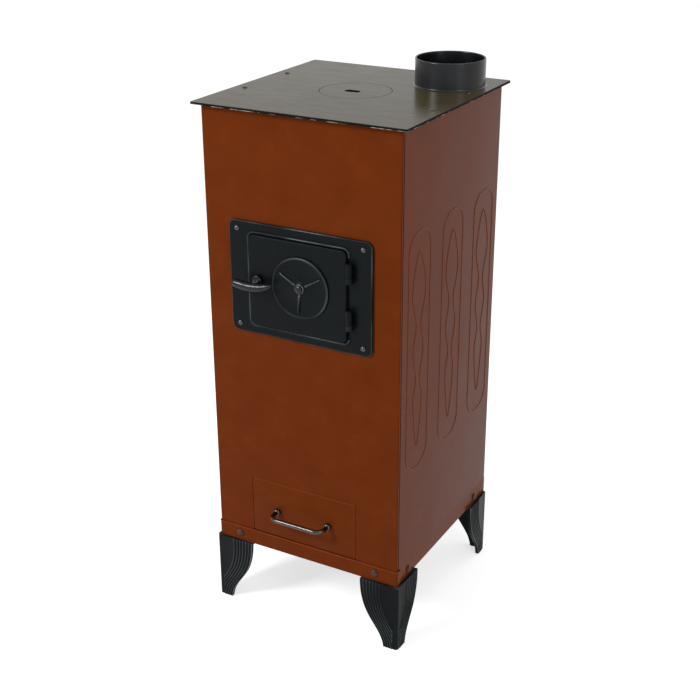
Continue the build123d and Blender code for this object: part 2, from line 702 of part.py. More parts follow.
def leg_outline():
    """Side of a leg's wing: straight at the corner, curved at the edge."""
    edge = wing_edge(0, 0)
    corner = Polyline(edge @ 1, (-LEG_PROUD, 0), (-LEG_PROUD, LEG_H), edge @ 0)
    return make_face(Curve() + [edge, corner])


def wing_ribs():
    """Ribs that follow the wing's edge and end at an upright line near the corner."""
    near = Pos(RIB_LINE - WING_W, LEG_H / 2) * Rectangle(2 * WING_W, 2 * LEG_H)
    ribs = []
    for step in range(RIBS):
        outer = wing_edge(step, 0.5)
        inner = wing_edge(step, 0.5 + RIB_W)
        ends = [Line(outer @ 0, inner @ 0), Line(outer @ 1, inner @ 1)]
        face = make_face(Curve() + [outer, inner] + ends)
        ribs.append(extrude(face - near, RIB_H))
    return ribs


def leg_front_left():
    """Cast corner leg: two curved and ribbed wings, a shelf under the body, and a tab behind each panel."""
    away = WING_W - LEG_PROUD
    inner = TAB_IN + TAB_T
    diagonal = Plane(origin=(0, 0, 0), x_dir=(0, 0, 1), z_dir=(1, -1, 0))
    wing = extrude(leg_outline(), -WING_T) + wing_ribs()
    outside = Plane(origin=(0, -LEG_PROUD, 0), x_dir=(1, 0, 0), z_dir=(0, -1, 0))
    front = outside.location * wing
    side = mirror(front, about=diagonal)
    shelf = block((-LEG_PROUD, away), (-LEG_PROUD, away), (LEG_H - 6, LEG_H))
    shelf -= block((inner, away + 1), (inner, away + 1), (0, LEG_H))
    tab = block((22, 60), (TAB_IN, inner), (LEG_H - 6, FLOOR_Z - SHEET - 1))
    tabs = tab + mirror(tab, about=diagonal)
    leg = front + side + shelf + tabs
    corner = leg.edges().filter_by(Axis.Z).sort_by_distance((-LEG_PROUD, -LEG_PROUD, LEG_H / 2))[0]
    leg = fillet(corner, 4.5)
    leg = Pos(-SIDE_X, FRONT_Y, 0) * leg
    return drill_leg_bolts(leg)


def leg_bolts():
    """Domed bolts, 7 mm longer than what they hold."""
    places = leg_bolt_places()
    return [place * dome_bolt(6.8, 4.2, LEG_BOLT_R, stack + TAB_T + 7) for place, stack in places]


def leg_nuts():
    nut = hexagon_nut(LEG_BOLT_R, 6)
    return [place * Pos(0, 0, -stack - TAB_T - 6) * nut for place, stack in leg_bolt_places()]


def back_screws():
    screw = dome_bolt(4, 2.2, 2, 8)
    return [place * screw for place in back_screw_places()]


def build():
    """Every node of the stove, by name."""
    right = right_panel()
    left_leg = leg_front_left()
    right_leg = mirror(left_leg, about=MIRROR_X)
    return {
        "front_panel": front_panel(),
        "right_panel": right,
        "left_panel": mirror(right, about=MIRROR_X),
        "back_panel": back_panel(),
        "back_screws": back_screws(),
        "base_pan": base_pan(),
        "front_skirt": front_skirt(),
        "top_frame": top_frame(),
        "top_plate": top_plate(),
        "plate_screws": plate_screws(),
        "lid_seat": lid_seat(),
        "cooking_lid": cooking_lid(),
        "flue_collar": flue_collar(),
        "grate_shelf": grate_shelf(),
        "grate": grate(),
        "left_bricks": left_bricks(),
        "right_bricks": right_bricks(),
        "front_bricks": front_bricks(),
        "back_bricks": back_bricks(),
        "drawer_guides": drawer_guides(),
        "leg_front_left": left_leg,
        "leg_front_right": right_leg,
        "leg_back_left": mirror(left_leg, about=MIRROR_Y),
        "leg_back_right": mirror(right_leg, about=MIRROR_Y),
        "leg_bolts": leg_bolts(),
        "leg_nuts": leg_nuts(),
        "door_frame": door_frame(),
        "frame_bolts": frame_bolts(),
        "frame_nuts": frame_nuts(),
        "hinge_pins": hinge_pins(),
        "door_leaf": door_leaf(),
        "heat_shield": heat_shield(),
        "shield_screws": shield_screws(),
        "air_wheel_bolt": air_wheel_bolt(),
        "air_wheel_nut": air_wheel_nut(),
        "air_wheel": air_wheel(),
        "latch_handle": latch_handle(),
        "latch_shaft": latch_shaft(),
        "latch_tongue": latch_tongue(),
        "drawer_front": drawer_front(),
        "ash_tray": ash_tray(),
        "drawer_handle": drawer_handle(),
        "handle_collars": handle_collars(),
        "handle_nuts": handle_nuts(),
    }


os.makedirs("parts", exist_ok=True)
for name, piece in build().items():
    if isinstance(piece, list):
        piece = Compound(children=piece)
    export_step(piece, f"parts/{name}.step")
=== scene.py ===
from math import cos, pi, radians, sin

import bmesh
import bpy
import numpy as np
from mathutils import Matrix, Vector


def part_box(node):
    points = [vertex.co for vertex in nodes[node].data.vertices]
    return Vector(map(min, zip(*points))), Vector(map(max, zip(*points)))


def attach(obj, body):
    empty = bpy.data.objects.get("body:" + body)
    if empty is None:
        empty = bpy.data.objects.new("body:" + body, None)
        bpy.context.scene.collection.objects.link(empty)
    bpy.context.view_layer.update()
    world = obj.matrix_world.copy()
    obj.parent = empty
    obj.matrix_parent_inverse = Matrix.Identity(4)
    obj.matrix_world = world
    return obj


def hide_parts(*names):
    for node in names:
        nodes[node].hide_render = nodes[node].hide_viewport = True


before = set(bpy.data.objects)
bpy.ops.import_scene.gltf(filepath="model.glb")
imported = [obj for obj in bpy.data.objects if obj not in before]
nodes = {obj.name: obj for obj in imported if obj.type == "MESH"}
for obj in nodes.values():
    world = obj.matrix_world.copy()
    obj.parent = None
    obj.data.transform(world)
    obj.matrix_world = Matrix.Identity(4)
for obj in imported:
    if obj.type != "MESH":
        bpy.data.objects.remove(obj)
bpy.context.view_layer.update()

# Legs. Four grey-iron corner castings, each an angle of two S-curved wings with ribs that follow the curve.
# The body stands on a shelf inside their top edge, and each wing is bolted on through a tab behind the panel.

MM = 0.001
SHEET = 1.5
RIGHT_WAY = np.array([1.0, 0.0, 0.0])
BACK_WAY = np.array([0.0, 1.0, 0.0])
UP_WAY = np.array([0.0, 0.0, 1.0])


def limits(node):
    """Lowest and highest corner of a CAD node, in millimetres."""
    low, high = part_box(node)
    return np.array(low) / MM, np.array(high) / MM


body_low, body_high = limits("base_pan")
SIDE_X = body_high[0] + SHEET
FRONT_Y = body_low[1] - SHEET
BACK_Y = body_high[1] + SHEET
LEG_H = body_low[2]


def surface(grid, around=False, along=False, caps=()):
    """Quads through a grid of points (rows, columns, xyz). The last column may join the first (around), and
    the last row the first (along). caps lists the rows, 0 or -1, that one flat face closes."""
    rows, columns = grid.shape[:2]
    index = np.arange(rows * columns).reshape(rows, columns)
    ends = [index[row].tolist() for row in caps]
    if around:
        index = np.hstack([index, index[:, :1]])
    if along:
        index = np.vstack([index, index[:1]])
    quads = np.stack([index[:-1, :-1], index[:-1, 1:], index[1:, 1:], index[1:, :-1]], -1)
    return grid.reshape(-1, 3), quads.reshape(-1, 4), ends


def block(low, high):
    """A block between two corners."""
    low = np.array(low, float)
    high = np.array(high, float)
    ring = np.array([[0, 0], [1, 0], [1, 1], [0, 1]])
    plan = low[:2] + ring * (high - low)[:2]
    grid = np.stack([np.column_stack([plan, np.full(4, level)]) for level in (low[2], high[2])])
    return surface(grid, around=True, caps=(0, -1))


def convexity(mesh):
    """How sharply the surface turns outwards at a point, in 1/mm: the mean over the edges to its neighbours
    of twice the neighbour's drop below the point's tangent plane, divided by the edge's length squared."""
    count = len(mesh.vertices)
    at = np.empty((count, 3))
    mesh.vertices.foreach_get("co", at.ravel())
    normal = np.empty((count, 3))
    mesh.vertex_normals.foreach_get("vector", normal.ravel())
    pairs = np.empty((len(mesh.edges), 2), int)
    mesh.edges.foreach_get("vertices", pairs.ravel())
    here, there = np.vstack([pairs, pairs[:, ::-1]]).T
    step = at[there] - at[here]
    turn = -2 * (normal[here] * step).sum(1) / (step ** 2).sum(1)
    return MM * np.bincount(here, turn, count) / np.bincount(here, minlength=count)


def piece(name, patches, material, body, replaced=(), sharp=34.0):
    """One object from closed patches in millimetres: welded, faces outwards, smooth except over sharp edges.
    Its attribute "turn" holds the convexity, for materials that paint highlights and wear on their edges."""
    starts = np.cumsum([0] + [len(points) for points, _, _ in patches])
    points = np.concatenate([patch[0] for patch in patches]) * MM
    faces = []
    for start, (_, quads, ends) in zip(starts.tolist(), patches):
        faces += (quads + start).tolist()
        faces += [[corner + start for corner in end] for end in ends]
    mesh = bpy.data.meshes.new(name)
    mesh.from_pydata(points.tolist(), [], faces)
    work = bmesh.new()
    work.from_mesh(mesh)
    bmesh.ops.remove_doubles(work, verts=work.verts, dist=1e-6)
    bmesh.ops.dissolve_degenerate(work, edges=work.edges, dist=1e-7)
    bmesh.ops.recalc_face_normals(work, faces=work.faces)
    work.to_mesh(mesh)
    work.free()
    mesh.polygons.foreach_set("use_smooth", np.ones(len(mesh.polygons), bool))
    mesh.set_sharp_from_angle(angle=radians(sharp))
    mesh.attributes.new("turn", "FLOAT", "POINT").data.foreach_set("value", convexity(mesh))
    mesh.materials.append(material)
    made = bpy.data.objects.new(name, mesh)
    bpy.context.scene.collection.objects.link(made)
    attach(made, body)
    if replaced:
        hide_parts(*replaced)
    return made


def paint(material, *names):
    """Gives CAD nodes that keep their shape their finish."""
    for name in names:
        for place in nodes[name].material_slots:
            place.material = material


def colour(code):
    """Linear colour of an sRGB hex code."""
    channel = np.array([int(code[start:start + 2], 16) for start in (1, 3, 5)]) / 255
    linear = np.where(channel <= 0.04045, channel / 12.92, ((channel + 0.055) / 1.055) ** 2.4)
    return (*linear.tolist(), 1.0)


def new_material(name, slot):
    """An empty material that knows the record's slot it belongs to."""
    material = bpy.data.materials.new(name)
    material.use_nodes = True
    material.node_tree.nodes.clear()
    material["slot"] = slot
    return material


def add(material, kind, inputs=None, **settings):
    """Adds a node with its settings. An input given as another node's socket is linked, any other is set."""
    made = material.node_tree.nodes.new(kind)
    for key, value in settings.items():
        setattr(made, key, value)
    for key, value in (inputs or {}).items():
        if isinstance(value, bpy.types.NodeSocket):
            material.node_tree.links.new(value, made.inputs[key])
        else:
            made.inputs[key].default_value = value
    return made


def finish(material, relief, **inputs):
    """Ends a material: relief is its height in metres, the rest are the shader's own inputs."""
    bump = add(material, "ShaderNodeBump", {"Height": relief, "Distance": 1.0, "Strength": 1.0})
    named = {key.replace("_", " "): value for key, value in inputs.items()}
    shader = add(material, "ShaderNodeBsdfPrincipled", {"Normal": bump.outputs["Normal"], **named})
    add(material, "ShaderNodeOutputMaterial", {"Surface": shader.outputs["BSDF"]})


# Grey cast iron, sand-moulded and coated with black stove paint: a fine grain, a slow unevenness of the
# mould, a satin sheen, and long stretches of edge and crest painted pale metallic grey, partly paint rubbed
# to grey metal and partly a painted highlight. Sizes and heights of a pattern are in millimetres, here and
# in the other materials.
IRON_GRAIN = 0.9
IRON_LUMPS = 14.0
IRON_PATCH = 55.0
IRON_GRAIN_H = 0.06
IRON_LUMPS_H = 0.25
cast_iron = new_material("cast iron", "black_iron")
at = add(cast_iron, "ShaderNodeTexCoord").outputs["Object"]
grain = add(cast_iron, "ShaderNodeTexNoise", {"Vector": at, "Scale": 1 / (IRON_GRAIN * MM), "Detail": 4.0})
lumps = add(cast_iron, "ShaderNodeTexNoise", {"Vector": at, "Scale": 1 / (IRON_LUMPS * MM), "Detail": 3.0})
tint = add(cast_iron, "ShaderNodeMixRGB", {"Fac": lumps.outputs["Fac"], "Color1": colour("#070a0b"),
                                           "Color2": colour("#0f1415")})
turn = add(cast_iron, "ShaderNodeAttribute", attribute_name="turn")
# Painted highlight and wear: edges and crests that turn outwards sharply are mixed towards pale metallic
# grey.
crest_highlight = add(cast_iron, "ShaderNodeMapRange", {"Value": turn.outputs["Fac"], "From Min": 0.1, "From Max": 0.5})
patch_noise = add(cast_iron, "ShaderNodeTexNoise", {"Vector": at, "Scale": 1 / (IRON_PATCH * MM), "Detail": 1.0})
patchy = add(cast_iron, "ShaderNodeMapRange", {"Value": patch_noise.outputs["Fac"], "From Min": 0.35,
                                               "From Max": 0.65, "To Min": 0.1, "To Max": 0.95})
wear_and_highlight = add(cast_iron, "ShaderNodeMath", {0: crest_highlight.outputs["Result"], 1: patchy.outputs["Result"]},
           operation="MULTIPLY")
toned = add(cast_iron, "ShaderNodeMixRGB", {"Fac": wear_and_highlight.outputs[0], "Color1": tint.outputs["Color"],
                                            "Color2": colour("#636c6e")})
sheen = add(cast_iron, "ShaderNodeMapRange", {"Value": grain.outputs["Fac"], "From Min": 0.3, "From Max": 0.7,
                                              "To Min": 0.3, "To Max": 0.46})
slow = add(cast_iron, "ShaderNodeMath", {0: lumps.outputs["Fac"], 1: IRON_LUMPS_H * MM}, operation="MULTIPLY")
relief = add(cast_iron, "ShaderNodeMath", {0: grain.outputs["Fac"], 1: IRON_GRAIN_H * MM, 2: slow.outputs[0]},
             operation="MULTIPLY_ADD")
finish(cast_iron, relief.outputs[0], Base_Color=toned.outputs["Color"], Roughness=sheen.outputs["Result"],
       Metallic=wear_and_highlight.outputs[0], Specular_IOR_Level=0.07)

LEG_PROUD = 5.5
WING_W = 75.0
WING_T = 6.0
FOOT_W = 27.0
FOOT_FLARE = 6.0
CALF_H = 45.0
KNEE_H = 50.0
WING_EDGE = 0.8
CORNER_R = 4.5
TAB_IN = 2 * SHEET
TAB_T = 5.0
TAB_START = 22.0
TAB_END = 60.0
TAB_RISE = 27.0
TAB_ROOT = 3.0
SHELF_T = 6.0
SHELF_INSET = 1.0
OVERLAP = 0.1
RIB_PITCH = 6.5
RIB_CLOSING = 0.22
RIBS = 7
LAST_RIB = RIBS - 0.5
RIB_H = 1.3
RIB_BLUNT = 0.7
RIB_LINE = 10.0
ROWS = 90
RIB_STEPS = 10


def bezier(start, leave, arrive, end, t):
    """Cubic curve from start to end, pulled towards leave and then arrive."""
    s = 1 - t
    return start * s ** 3 + 3 * leave * t * s ** 2 + 3 * arrive * t ** 2 * s + end * t ** 3


def leg_patches(corner, inward):
    """One leg. Each level is an L in plan, and the wings' width follows an S-curve in height. The ribs are a
    cosine of the distance to the wing's edge, closer together at the foot, and stop at an upright line by the
    corner."""
    t = np.linspace(0, 1, ROWS)
    width = bezier(FOOT_W, FOOT_W + FOOT_FLARE, WING_W, WING_W, t)
    height = bezier(0, CALF_H, KNEE_H, LEG_H, t)
    edge = width - LEG_PROUD
    pitch = RIB_PITCH * (1 - RIB_CLOSING * (1 - height / LEG_H))
    phase = np.linspace(0, LAST_RIB, int(LAST_RIB * RIB_STEPS) + 1)
    stop = RIB_LINE - LEG_PROUD
    across = edge[:, None] - pitch[:, None] * phase
    ridge = RIB_H * (0.5 + 0.5 * np.cos(2 * pi * phase)) ** RIB_BLUNT
    out = np.where(across > stop, ridge, 0.0)
    across = np.maximum(across, stop)
    level = np.full((ROWS, 1), 1.0)
    turn = np.radians(np.linspace(0, 45, 5))
    middle = CORNER_R - LEG_PROUD
    a = np.hstack([edge[:, None], edge[:, None], across, level * (middle - CORNER_R * np.sin(turn))])
    b = np.hstack([level * (WING_T - LEG_PROUD), level * (WING_EDGE - LEG_PROUD), -LEG_PROUD - out,
                   level * (middle - CORNER_R * np.cos(turn))])
    inner = level * (WING_T - LEG_PROUD)
    first = np.hstack([inner, a, b[:, -2::-1]])
    second = np.hstack([inner, b, a[:, -2::-1]])
    grid = np.stack([corner[0] + inward[0] * first, corner[1] + inward[1] * second,
                     np.repeat(height[:, None], first.shape[1], 1)], -1)
    away = WING_W - LEG_PROUD - SHELF_INSET
    deep = TAB_IN + TAB_T
    near = WING_T - LEG_PROUD - OVERLAP
    shelf = LEG_H - SHELF_T
    root = LEG_H - TAB_ROOT
    high = LEG_H + TAB_RISE
    parts = [((near, near, shelf), (away, deep, LEG_H)), ((near, deep, shelf), (deep, away, LEG_H)),
             ((TAB_START, TAB_IN, root), (TAB_END, deep, high)),
             ((TAB_IN, TAB_START, root), (deep, TAB_END, high))]
    patches = [surface(grid, around=True, caps=(0, -1))]
    for low, top in parts:
        ends = np.array([low[:2], top[:2]]) * inward + corner
        patches.append(block((*ends.min(0), low[2]), (*ends.max(0), top[2])))
    return patches


for name, x, y in (("leg_front_left", -1, -1), ("leg_front_right", 1, -1),
                   ("leg_back_left", -1, 1), ("leg_back_right", 1, 1)):
    corner = np.array([x * SIDE_X, FRONT_Y if y < 0 else BACK_Y])
    piece(name + "_casting", leg_patches(corner, np.array([-x, -y])), cast_iron, "stove", [name])

# Bolts, screws and nuts. Machine bolts with domed heads hold the legs, the door frame, the back, the plate
# and the heat shield. Most are blackened steel, with the black rubbed off their crowns in spots.
RUBBED_SPOT = 2.5
RUBBED_H = 0.06
blackened = new_material("blackened steel", "fastener_steel")
at = add(blackened, "ShaderNodeTexCoord").outputs["Object"]
wear = add(blackened, "ShaderNodeTexNoise", {"Vector": at, "Scale": 1 / (RUBBED_SPOT * MM), "Detail": 5.0})
tint = add(blackened, "ShaderNodeMixRGB", {"Fac": wear.outputs["Fac"], "Color1": colour("#131415"),
                                           "Color2": colour("#393836")})
sheen = add(blackened, "ShaderNodeMapRange", {"Value": wear.outputs["Fac"], "To Min": 0.42, "To Max": 0.22})
relief = add(blackened, "ShaderNodeMath", {0: wear.outputs["Fac"], 1: RUBBED_H * MM}, operation="MULTIPLY")
finish(blackened, relief.outputs[0], Base_Color=tint.outputs["Color"], Roughness=sheen.outputs["Result"],
       Metallic=0.85)

# Zinc-plated steel, dulled by heat, on the door frame's bolts, the plate's screws and the hinge pins: an even
# dark grey that still catches a small bright glint.
PLATING_CLOUD = 3.0
PLATING_H = 0.03
bright = new_material("zinc-plated steel", "fastener_steel")
at = add(bright, "ShaderNodeTexCoord").outputs["Object"]
cloud = add(bright, "ShaderNodeTexNoise", {"Vector": at, "Scale": 1 / (PLATING_CLOUD * MM), "Detail": 3.0})
tint = add(bright, "ShaderNodeMixRGB", {"Fac": cloud.outputs["Fac"], "Color1": colour("#2c2f32"),
                                        "Color2": colour("#5a5d60")})
relief = add(bright, "ShaderNodeMath", {0: cloud.outputs["Fac"], 1: PLATING_H * MM}, operation="MULTIPLY")
finish(bright, relief.outputs[0], Base_Color=tint.outputs["Color"], Roughness=0.28, Metallic=1.0)

# Ground-coat enamel, on the bolts of the base, which were dipped and fired with it: a rough, almost black
# brown.
DIP_CLOUD = 2.0
DIP_H = 0.2
ground_coat = new_material("ground-coat enamel", "fastener_steel")
at = add(ground_coat, "ShaderNodeTexCoord").outputs["Object"]
cloud = add(ground_coat, "ShaderNodeTexNoise", {"Vector": at, "Scale": 1 / (DIP_CLOUD * MM), "Detail": 4.0})
tint = add(ground_coat, "ShaderNodeMixRGB", {"Fac": cloud.outputs["Fac"], "Color1": colour("#20120d"),
                                             "Color2": colour("#45281d")})
relief = add(ground_coat, "ShaderNodeMath", {0: cloud.outputs["Fac"], 1: DIP_H * MM}, operation="MULTIPLY")
finish(ground_coat, relief.outputs[0], Base_Color=tint.outputs["Color"], Roughness=0.4,
       Specular_IOR_Level=0.3)

paint(blackened, "leg_nuts", "frame_nuts", "shield_screws", "air_wheel_nut", "handle_nuts",
      "back_screws", "air_wheel_bolt", "latch_shaft")
paint(bright, "frame_bolts", "plate_screws", "hinge_pins")
paint(ground_coat, "leg_bolts")

# Casing. Folded sheet-steel panels with a fired chestnut enamel: glassy and slightly rippled like orange
# peel, a little uneven in tone, with a few dark pinholes, and painted paler over the edges that stand out as
# a painted highlight; the thin sheet itself is gently wavy. Inside, the sheet has only the dark ground coat,
# sooted.
ENAMEL_CLOUD = 60.0
PEEL = 3.5
PEEL_H = 0.014
SHEET_WAVE = 170.0
SHEET_WAVE_H = 1.6
PINHOLE = 16.0
SKIN_IN = 1.0
SKIN_OUT = 0.5
enamel = new_material("vitreous enamel", "brown_enamel")
at = add(enamel, "ShaderNodeTexCoord").outputs["Object"]
cloud = add(enamel, "ShaderNodeTexNoise", {"Vector": at, "Scale": 1 / (ENAMEL_CLOUD * MM), "Detail": 6.0,
                                           "Roughness": 0.62})
peel = add(enamel, "ShaderNodeTexNoise", {"Vector": at, "Scale": 1 / (PEEL * MM), "Detail": 2.0})
wave = add(enamel, "ShaderNodeTexNoise", {"Vector": at, "Scale": 1 / (SHEET_WAVE * MM), "Detail": 1.0})
hole = add(enamel, "ShaderNodeTexVoronoi", {"Vector": at, "Scale": 1 / (PINHOLE * MM), "Randomness": 1.0})
even = add(enamel, "ShaderNodeMapRange", {"Value": cloud.outputs["Fac"], "From Min": 0.3, "From Max": 0.7})
coat = add(enamel, "ShaderNodeMixRGB", {"Fac": even.outputs["Result"], "Color1": colour("#5e2609"),
                                        "Color2": colour("#662c0d")})
spot = add(enamel, "ShaderNodeMapRange", {"Value": hole.outputs["Distance"], "From Min": 0.02,
                                          "From Max": 0.035, "To Min": 0.55, "To Max": 0.0})
coat = add(enamel, "ShaderNodeMixRGB", {"Fac": spot.outputs["Result"], "Color1": coat.outputs["Color"],
                                        "Color2": colour("#1d0a04")})
# Painted highlight: the enamel turns paler where the surface bends outwards sharply, on edges, beads and the
# lip.
turn = add(enamel, "ShaderNodeAttribute", attribute_name="turn")
crest_highlight = add(enamel, "ShaderNodeMapRange", {"Value": turn.outputs["Fac"], "From Min": 0.15, "From Max": 0.5,
                                           "To Max": 0.22})
coat = add(enamel, "ShaderNodeMixRGB", {"Fac": crest_highlight.outputs["Result"], "Color1": coat.outputs["Color"],
                                        "Color2": colour("#b5652f")})
place = add(enamel, "ShaderNodeSeparateXYZ", {"Vector": at}).outputs
width = add(enamel, "ShaderNodeMath", {0: place["X"]}, operation="ABSOLUTE")
back_skin = limits("back_panel")[1][1]
skins = [(width.outputs[0], SIDE_X - SKIN_IN, SIDE_X - SKIN_OUT),
         (place["Y"], FRONT_Y + SKIN_IN, FRONT_Y + SKIN_OUT),
         (place["Y"], back_skin - SKIN_IN, back_skin - SKIN_OUT)]
outside = [add(enamel, "ShaderNodeMapRange", {"Value": value, "From Min": start * MM, "From Max": end * MM})
           for value, start, end in skins]
outer = add(enamel, "ShaderNodeMath", {0: outside[0].outputs["Result"], 1: outside[1].outputs["Result"]},
            operation="MAXIMUM")
outer = add(enamel, "ShaderNodeMath", {0: outer.outputs[0], 1: outside[2].outputs["Result"]},
            operation="MAXIMUM")
coat = add(enamel, "ShaderNodeMixRGB", {"Fac": outer.outputs[0], "Color1": colour("#1b1412"),
                                        "Color2": coat.outputs["Color"]})
sheen = add(enamel, "ShaderNodeMapRange", {"Value": cloud.outputs["Fac"], "From Min": 0.3, "From Max": 0.7,
                                           "To Min": 0.2, "To Max": 0.3})
slow = add(enamel, "ShaderNodeMath", {0: wave.outputs["Fac"], 1: SHEET_WAVE_H * MM}, operation="MULTIPLY")
relief = add(enamel, "ShaderNodeMath", {0: peel.outputs["Fac"], 1: PEEL_H * MM, 2: slow.outputs[0]},
             operation="MULTIPLY_ADD")
finish(enamel, relief.outputs[0], Base_Color=coat.outputs["Color"], Roughness=sheen.outputs["Result"],
       Specular_IOR_Level=0.045, Specular_Tint=colour("#ffc09c"))
paint(enamel, "base_pan", "front_skirt", "front_panel", "back_panel")

# Skirt's lip. The top edge of the strip along the foot of the front is rolled outwards into a thin round
# bead, which follows the strip round both corners and carries the same enamel, with its painted highlight
# along the crest.
LIP_R = 1.1
LIP_Z = 158.4
LIP_BEND = 3.5
LIP_SIDES = 12
SKIRT_TAIL = 10.0


def unit(vectors):
    """Vectors scaled to length one."""
    return vectors / np.linalg.norm(vectors, axis=-1, keepdims=True)


def bar(path, radii, up, sides=20):
    """A round or oval bar: rings square to a path, with half-widths (up, then sideways) at each point."""
    along = unit(np.gradient(path, axis=0))
    side = unit(np.cross(along, up))
    top = np.cross(side, along)
    angle = np.linspace(0, 2 * pi, sides, endpoint=False)
    grid = (path[:, None] + top[:, None] * (radii[:, :1] * np.cos(angle))[..., None]
            + side[:, None] * (radii[:, 1:] * np.sin(angle))[..., None])
    return surface(grid, around=True, caps=(0, -1))


skirt_x = SIDE_X + SHEET
skirt_y = FRONT_Y - SHEET
turn = np.linspace(0, pi / 2, 8)
bend = np.column_stack([skirt_x - LIP_BEND * (1 - np.cos(turn)), skirt_y + LIP_BEND * (1 - np.sin(turn))])
half = np.vstack([[skirt_x, FRONT_Y + SKIRT_TAIL], bend])
plan = np.vstack([half, half[::-1] * (-1, 1)])
lip_line = np.column_stack([plan, np.full(len(plan), LIP_Z)])
piece("skirt_lip", [bar(lip_line, np.full((len(plan), 2), LIP_R), UP_WAY, LIP_SIDES)], enamel, "stove")

# Side panels. One sheet each, folded in at the back edge, with three upright loops and a wavy figure inside
# each loop pressed out of the sheet as low round beads.
RETURN = 18.0
FOLD_R = 2.0
FOLD_GAP = 1.0
BEAD_W = 3.4
BEAD_H = 0.75
BEAD_SUNK = 0.4
LOOP_PITCH = 126.0
LOOP_W = 79.0
LOOP_R = 34.0
LOOP_OFFSET = 6.0
LOOP_LOW = 337.0
LOOP_HIGH = 762.0
WAVE_TOP = 728.0
WAVE_LOW = 377.0
WAVE = ((24.0, 661.0), (9.0, 603.0), (18.5, 555.0), (7.5, 505.0), (16.0, 463.0))
panel_low, panel_high = limits("right_panel")
floor_top = body_high[2] + FOLD_GAP


def rounded_ring(width, height, radius, x=0.0, z=0.0, corner=8, side=6):
    """Ring of points round a rectangle with round corners: four arcs, and evenly spaced points between."""
    angle = np.linspace(0, pi / 2, corner)
    arcs = []
    for turn in range(4):
        start = turn * pi / 2
        quarter = ((1, 1), (-1, 1), (-1, -1), (1, -1))[turn]
        centre = np.array([width / 2 - radius, height / 2 - radius]) * quarter
        arcs.append(centre + radius * np.stack([np.cos(angle + start), np.sin(angle + start)], -1))
    share = np.linspace(0, 1, side + 2)[1:-1, None]
    ring = []
    for turn in range(4):
        ahead = arcs[(turn + 1) % 4][0]
        ring += [arcs[turn], arcs[turn][-1] + (ahead - arcs[turn][-1]) * share]
    return np.concatenate(ring) + (x, z)


def smooth_line(points, steps, closed):
    """Curve through points: between two of them, the cubic whose slope at each is parallel to the line
    between that point's neighbours."""
    knots = np.array(points, float)[:, None]
    if not closed:
        knots = np.concatenate([2 * knots[:1] - knots[1:2], knots, 2 * knots[-1:] - knots[-2:-1]])
    before, now, after, later = (np.roll(knots, shift, 0) for shift in (1, 0, -1, -2))
    t = np.linspace(0, 1, steps, endpoint=False)[:, None]
    curve = 2 * now + (after - before) * t + (2 * before - 5 * now + 4 * after - later) * t ** 2
    curve = 0.5 * (curve + (3 * now - before - 3 * after + later) * t ** 3)
    if not closed:
        curve = curve[1:-2]
    curve = curve.reshape(-1, knots.shape[-1])
    return curve if closed else np.vstack([curve, points[-1]])


def bead(path, out):
    """Pressed bead: a bell-shaped ridge, one plus a cosine, carried along a closed path on a flat face. Its
    underside is sunk in the sheet."""
    side = np.cross(unit(np.roll(path, -1, 0) - np.roll(path, 1, 0)), out)
    across = np.linspace(-1, 1, 11)
    width = np.concatenate([across, [1, -1]]) * BEAD_W / 2
    height = np.concatenate([BEAD_H * (0.5 + 0.5 * np.cos(pi * across)), [-BEAD_SUNK, -BEAD_SUNK]])
    grid = path[:, None] + side[:, None] * width[:, None] + out * height[:, None]
    return surface(grid, around=True, along=True)


def raised(outline, low, high):
    """A plan outline raised between two heights, with both ends closed."""
    grid = np.stack([np.column_stack([outline, np.full(len(outline), level)]) for level in (low, high)])
    return surface(grid, around=True, caps=(0, -1))


def side_panel(hand):
    """The sheet in plan is a long leaf with a fold at the back; below the floor it has no fold."""
    head = panel_low[1]
    tail = panel_high[1]
    skin = SIDE_X - SHEET
    turn = np.linspace(0, pi / 2, 7)
    bend = np.stack([np.cos(turn), np.sin(turn)], -1)
    middle = np.array([SIDE_X - FOLD_R, tail - FOLD_R])
    outer = np.vstack([[SIDE_X, head], middle + FOLD_R * bend, [SIDE_X - RETURN, tail]])
    inner = np.vstack([[SIDE_X - RETURN, tail - SHEET], (middle + (FOLD_R - SHEET) * bend)[::-1],
                       [skin, head]])
    plan = np.vstack([outer, inner]) * (hand, 1)
    foot = np.array([[SIDE_X, head], [SIDE_X, tail], [skin, tail], [skin, head]])
    patches = [raised(plan, floor_top, panel_high[2]), raised(foot * (hand, 1), panel_low[2], floor_top)]
    out = hand * RIGHT_WAY
    middle_z = (LOOP_LOW + LOOP_HIGH) / 2
    wave = [(0, WAVE_TOP), *WAVE, (0, WAVE_LOW), *[(-w, z) for w, z in reversed(WAVE)]]
    for step in (-1, 0, 1):
        y = (FRONT_Y + BACK_Y) / 2 + step * LOOP_PITCH + LOOP_OFFSET
        loop = rounded_ring(LOOP_W, LOOP_HIGH - LOOP_LOW, LOOP_R, y, middle_z, 14, 10)
        figure = smooth_line(wave, 12, closed=True) + (y, 0)
        for line in (loop, figure):
            path = np.column_stack([np.full(len(line), hand * SIDE_X), line])
            patches.append(bead(path, out))
    return patches


piece("right_side_sheet", side_panel(1), enamel, "stove", ["right_panel"])
piece("left_side_sheet", side_panel(-1), enamel, "stove", ["left_panel"])

